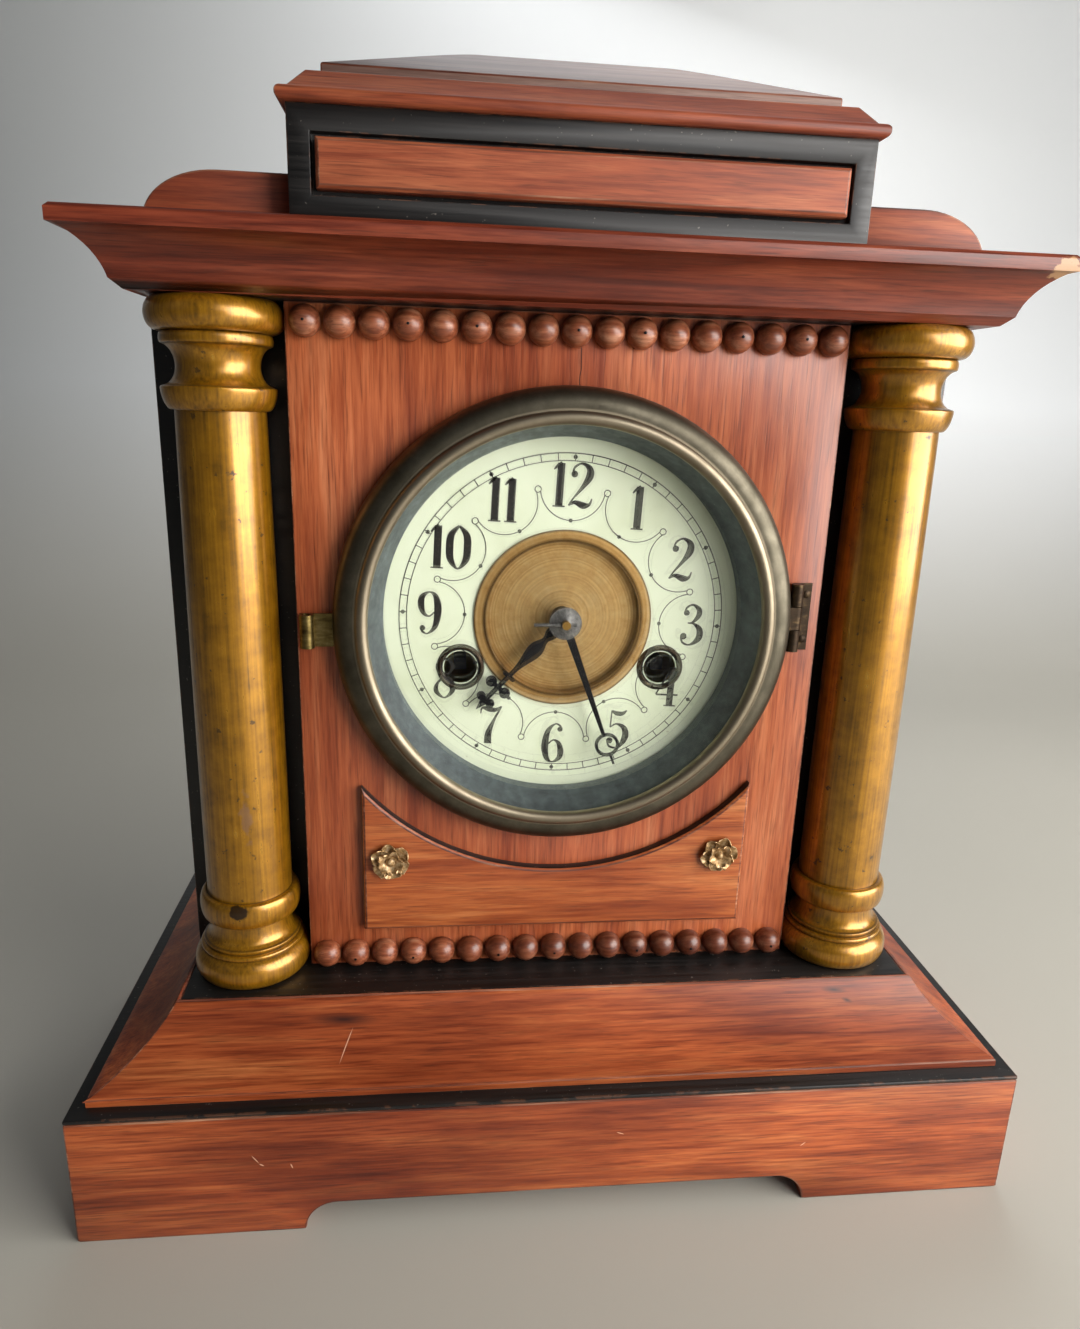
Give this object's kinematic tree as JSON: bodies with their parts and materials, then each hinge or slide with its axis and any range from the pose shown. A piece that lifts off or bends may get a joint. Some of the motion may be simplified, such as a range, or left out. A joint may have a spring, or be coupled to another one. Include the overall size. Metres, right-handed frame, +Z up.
{
  "type": "column mantel clock",
  "caption": "Temple-front mantel clock: stepped plinth, gilt turned columns, round hinged bezel over a cream dial, attic with hipped roof, striking pendulum movement inside.",
  "frame": {"origin": "middle of the rectangle that the plinth covers on the table, at table height", "axes": "+Z up, the dial faces -Y, +X to the right of a person who faces the dial"},
  "size_m": [0.334, 0.172, 0.3936],
  "materials": {
    "mahogany": "French-polished red-brown mahogany veneer, satin gloss",
    "ebonised_wood": "ebonised black, satin",
    "stained_softwood": "thin dark stain, matt",
    "gilt_wood": "oil gilding with brown wear",
    "patinated_brass": "dark patina, satin",
    "gilt_brass": "gilt, satin",
    "movement_brass": "lacquered, fine grained",
    "arbor_steel": "turned bright",
    "spring_steel": "hardened, blue-grey",
    "gong_steel": "tempered blue-black",
    "blued_hand_steel": "dark blued",
    "cream_dial": "cream enamel paint, satin",
    "dial_sheet_steel": "dull tinned sheet",
    "sight_ring_metal": "silvered grey, satin",
    "clear_glass": "clear flat glass"
  },
  "bodies": {
    "case": {"plinth_front_board": "mahogany", "plinth_side_boards": "mahogany", "base_board": "ebonised_wood", "base_moulding": "mahogany", "front_board": "ebonised_wood", "case_side_boards": "ebonised_wood", "front_panel": "mahogany", "apron_panel": "mahogany", "apron_rosettes": "gilt_brass", "bead_rows": "mahogany", "top_board": "mahogany", "cornice_moulding": "mahogany", "shoulder_blocks": "mahogany", "attic_box": "ebonised_wood", "attic_inlay": "mahogany", "attic_cap": "mahogany", "attic_roof": "mahogany", "column_bases": "gilt_wood", "column_shafts": "gilt_wood", "column_capitals": "gilt_wood", "back_board": "stained_softwood", "door_hinge_case_leaves": "patinated_brass", "panel_hinge_leaf": "patinated_brass", "dial_pan": "dial_sheet_steel", "dial_plate": "cream_dial", "dial_centre": "gilt_brass", "front_plate": "movement_brass", "back_plate": "movement_brass", "plate_pillars": "movement_brass", "mainsprings": "spring_steel", "coil_gong": "gong_steel", "gong_stand": "patinated_brass"},
    "bezel_door": {"bezel_ring": "patinated_brass", "bezel_glass": "clear_glass", "bezel_sight_ring": "sight_ring_metal", "bezel_hinge_leaf": "patinated_brass", "bezel_tab": "gilt_brass"},
    "rear_door": {"back_door": "stained_softwood", "door_hinge_door_leaves": "patinated_brass"},
    "turn_button": {"door_button": "patinated_brass"},
    "minute_work": {"centre_wheel": "movement_brass", "minute_hand": "blued_hand_steel", "hand_pin": "gilt_brass"},
    "hour_work": {"hour_wheel": "movement_brass", "hour_hand": "blued_hand_steel"},
    "minute_wheel_body": {"minute_wheel": "movement_brass"},
    "second_wheel_body": {"second_wheel": "movement_brass"},
    "time_great_body": {"time_great_wheel": "movement_brass"},
    "time_winder": {"time_winding_arbor": "arbor_steel"},
    "third_wheel_body": {"third_wheel": "movement_brass"},
    "escape_wheel_body": {"escape_wheel": "movement_brass"},
    "verge_body": {"verge": "arbor_steel"},
    "pendulum": {"pendulum_rod": "arbor_steel", "pendulum_bob": "movement_brass"},
    "strike_great_body": {"strike_great_wheel": "movement_brass"},
    "strike_winder": {"strike_winding_arbor": "arbor_steel"},
    "strike_wheel_body": {"strike_wheel": "movement_brass"},
    "warning_wheel_body": {"warning_wheel": "movement_brass"},
    "fly_body": {"fly": "movement_brass"},
    "hammer": {"strike_hammer": "arbor_steel"}
  },
  "joints": [
    {"name": "bezel_hinge", "type": "hinge", "parent": "case", "child": "bezel_door", "pos_m": [0.0826, -0.0385, 0.2105], "axis": [0, 0, 1], "range_deg": [0, 130]},
    {"name": "rear_door_hinge", "type": "hinge", "parent": "case", "child": "rear_door", "pos_m": [0.075, 0.082, 0.19], "axis": [0, 0, -1], "range_deg": [0, 100]},
    {"name": "turn_button_pivot", "type": "hinge", "parent": "case", "child": "turn_button", "pos_m": [-0.084, 0.08, 0.19], "axis": [0, 1, 0], "range_deg": [0, 90]},
    {"name": "minute_turn", "type": "hinge", "parent": "case", "child": "minute_work", "pos_m": [0, 0.02, 0.2075], "axis": [0, 1, 0], "continuous": true},
    {"name": "hour_turn", "type": "hinge", "parent": "case", "child": "hour_work", "pos_m": [0, 0.02, 0.2075], "axis": [0, 1, 0], "continuous": true},
    {"name": "minute_wheel_turn", "type": "hinge", "parent": "case", "child": "minute_wheel_body", "pos_m": [0, 0.02, 0.1931], "axis": [0, 1, 0], "continuous": true},
    {"name": "second_wheel_turn", "type": "hinge", "parent": "case", "child": "second_wheel_body", "pos_m": [0.00587, 0.02, 0.18213], "axis": [0, 1, 0], "continuous": true},
    {"name": "time_great_turn", "type": "hinge", "parent": "case", "child": "time_great_body", "pos_m": [0.0365, 0.02, 0.1895], "axis": [0, 1, 0], "continuous": true},
    {"name": "time_winding", "type": "hinge", "parent": "time_great_body", "child": "time_winder", "pos_m": [0.0365, 0.02, 0.1895], "axis": [0, 1, 0], "continuous": true},
    {"name": "third_wheel_turn", "type": "hinge", "parent": "case", "child": "third_wheel_body", "pos_m": [0.01089, 0.02, 0.22636], "axis": [0, 1, 0], "continuous": true},
    {"name": "escape_wheel_turn", "type": "hinge", "parent": "case", "child": "escape_wheel_body", "pos_m": [0.00434, 0.02, 0.24435], "axis": [0, 1, 0], "continuous": true},
    {"name": "pendulum_swing", "type": "hinge", "parent": "case", "child": "pendulum", "pos_m": [0.00434, 0.049, 0.26335], "axis": [0, 1, 0], "range_deg": [-4, 4]},
    {"name": "verge_rock", "type": "hinge", "parent": "case", "child": "verge_body", "pos_m": [0.00434, 0.02, 0.26335], "axis": [0, 1, 0], "range_deg": [-4, 4]},
    {"name": "strike_wheel_turn", "type": "hinge", "parent": "case", "child": "strike_wheel_body", "pos_m": [-0.02835, 0.02, 0.21993], "axis": [0, 1, 0], "continuous": true},
    {"name": "strike_great_turn", "type": "hinge", "parent": "case", "child": "strike_great_body", "pos_m": [-0.0365, 0.02, 0.1895], "axis": [0, 1, 0], "continuous": true},
    {"name": "strike_winding", "type": "hinge", "parent": "strike_great_body", "child": "strike_winder", "pos_m": [-0.0365, 0.02, 0.1895], "axis": [0, 1, 0], "continuous": true},
    {"name": "warning_wheel_turn", "type": "hinge", "parent": "case", "child": "warning_wheel_body", "pos_m": [-0.01717, 0.02, 0.24094], "axis": [0, 1, 0], "continuous": true},
    {"name": "fly_turn", "type": "hinge", "parent": "case", "child": "fly_body", "pos_m": [-0.03027, 0.02, 0.2485], "axis": [0, 1, 0], "continuous": true},
    {"name": "hammer_lift", "type": "hinge", "parent": "case", "child": "hammer", "pos_m": [-0.05201, 0.02, 0.22798], "axis": [0, 1, 0], "range_deg": [0, 10], "stiffness_Nm_per_rad": 0.02, "springref_deg": -5.73}
  ],
  "couplings": [
    {"joint": "hour_turn", "follows": "minute_turn", "ratio": 0.083333},
    {"joint": "minute_wheel_turn", "follows": "minute_turn", "ratio": -0.33333},
    {"joint": "second_wheel_turn", "follows": "minute_turn", "ratio": -0.16667},
    {"joint": "time_great_turn", "follows": "minute_turn", "ratio": 0.027778},
    {"joint": "third_wheel_turn", "follows": "minute_turn", "ratio": -10},
    {"joint": "escape_wheel_turn", "follows": "minute_turn", "ratio": 100},
    {"joint": "verge_rock", "follows": "pendulum_swing", "ratio": 1},
    {"joint": "strike_great_turn", "follows": "strike_wheel_turn", "ratio": -0.16667},
    {"joint": "warning_wheel_turn", "follows": "strike_wheel_turn", "ratio": -6},
    {"joint": "fly_turn", "follows": "strike_wheel_turn", "ratio": 48}
  ]
}
